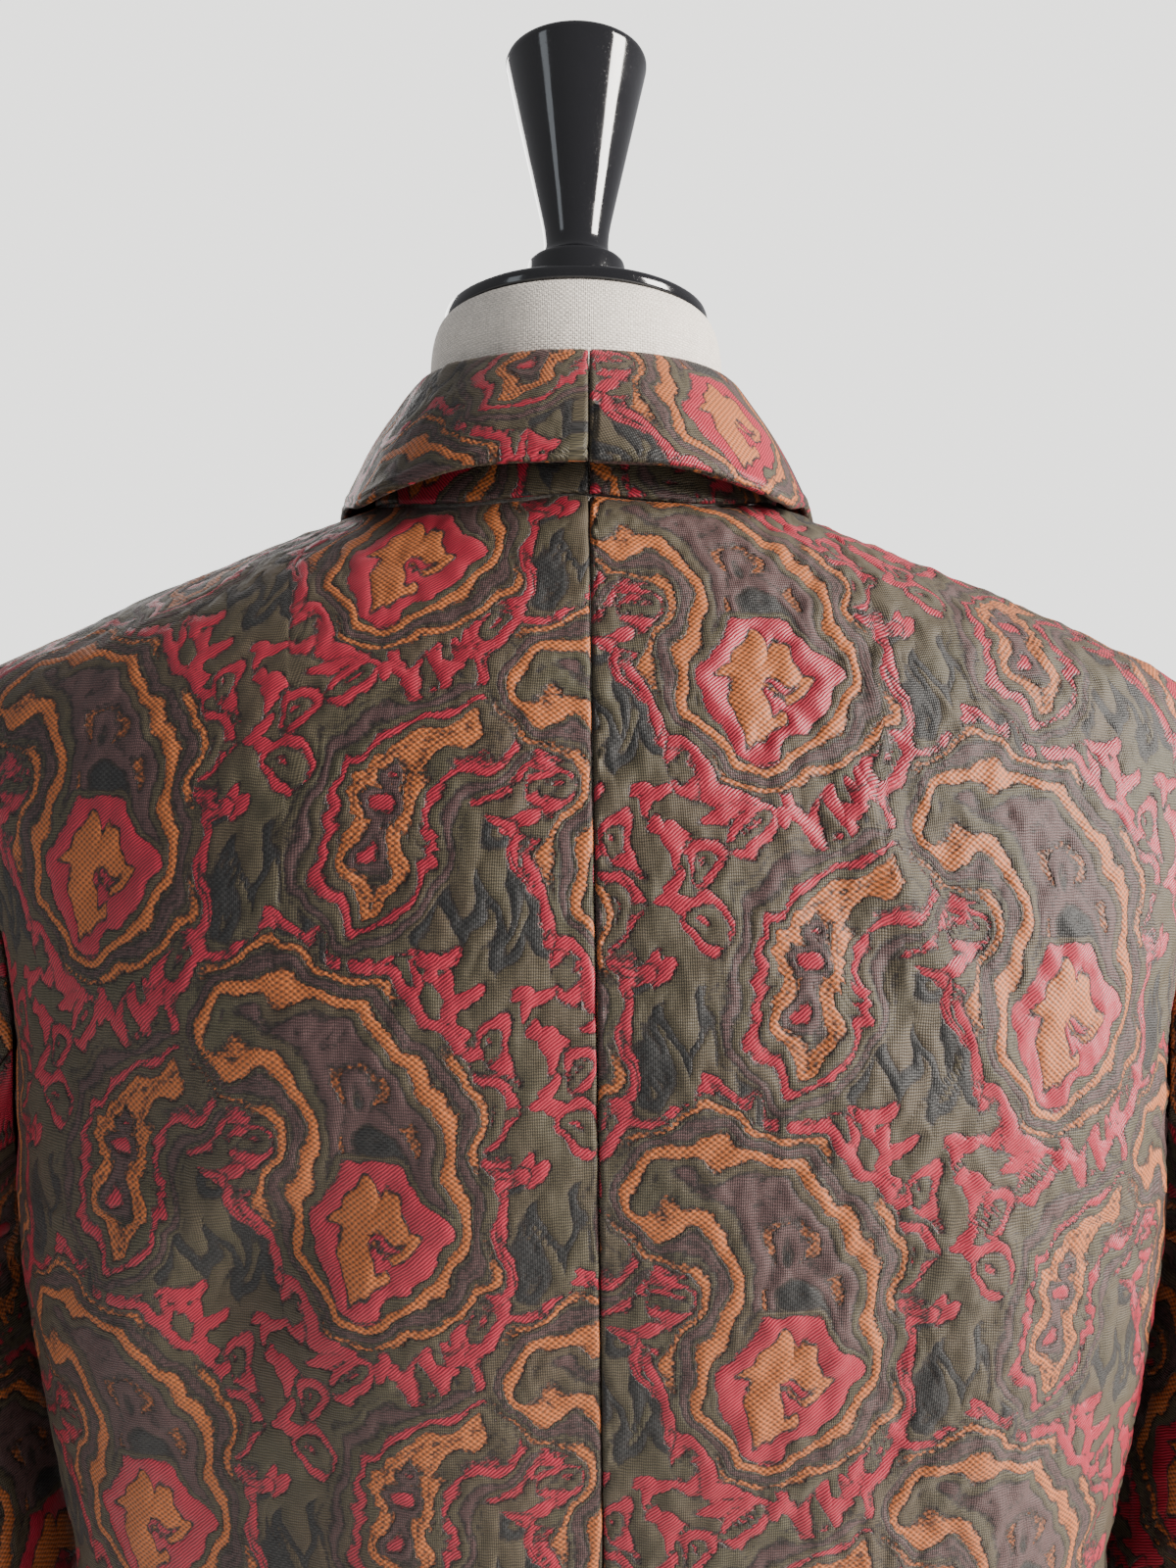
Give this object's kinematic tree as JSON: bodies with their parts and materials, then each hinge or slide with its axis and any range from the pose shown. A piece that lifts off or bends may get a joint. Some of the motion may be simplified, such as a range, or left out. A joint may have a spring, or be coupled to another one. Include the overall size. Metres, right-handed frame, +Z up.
{
  "type": "brocade blazer on a dress form",
  "caption": "Hip-length brocade blazer with a shawl collar and two-piece sleeves, worn by a linen dress form on a pole stand.",
  "frame": {"origin": "on the floor at the middle of the stand's underside, under the neck's axis", "axes": "+Z up, the garment's front faces -Y, +X towards the wearer's left"},
  "size_m": [0.59, 0.35, 1.3074],
  "materials": {
    "brocade": "matelasse jacquard with a soft sheen",
    "linen": "plain woven linen over the form",
    "black_lacquer": "black gloss lacquer on turned wood",
    "dark_steel": "black satin paint",
    "horn": "polished dark horn imitation"
  },
  "bodies": {
    "root": {"back_left": "brocade", "back_right": "brocade", "front_left": "brocade", "front_right": "brocade", "sleeve_left_top": "brocade", "sleeve_left_under": "brocade", "sleeve_right_top": "brocade", "sleeve_right_under": "brocade", "collar_left": "brocade", "collar_right": "brocade", "button_upper": "horn", "button_lower": "horn", "form_torso": "linen", "neck_cap": "black_lacquer", "finial": "black_lacquer", "pole": "dark_steel", "stand_base": "dark_steel"}
  },
  "joints": []
}
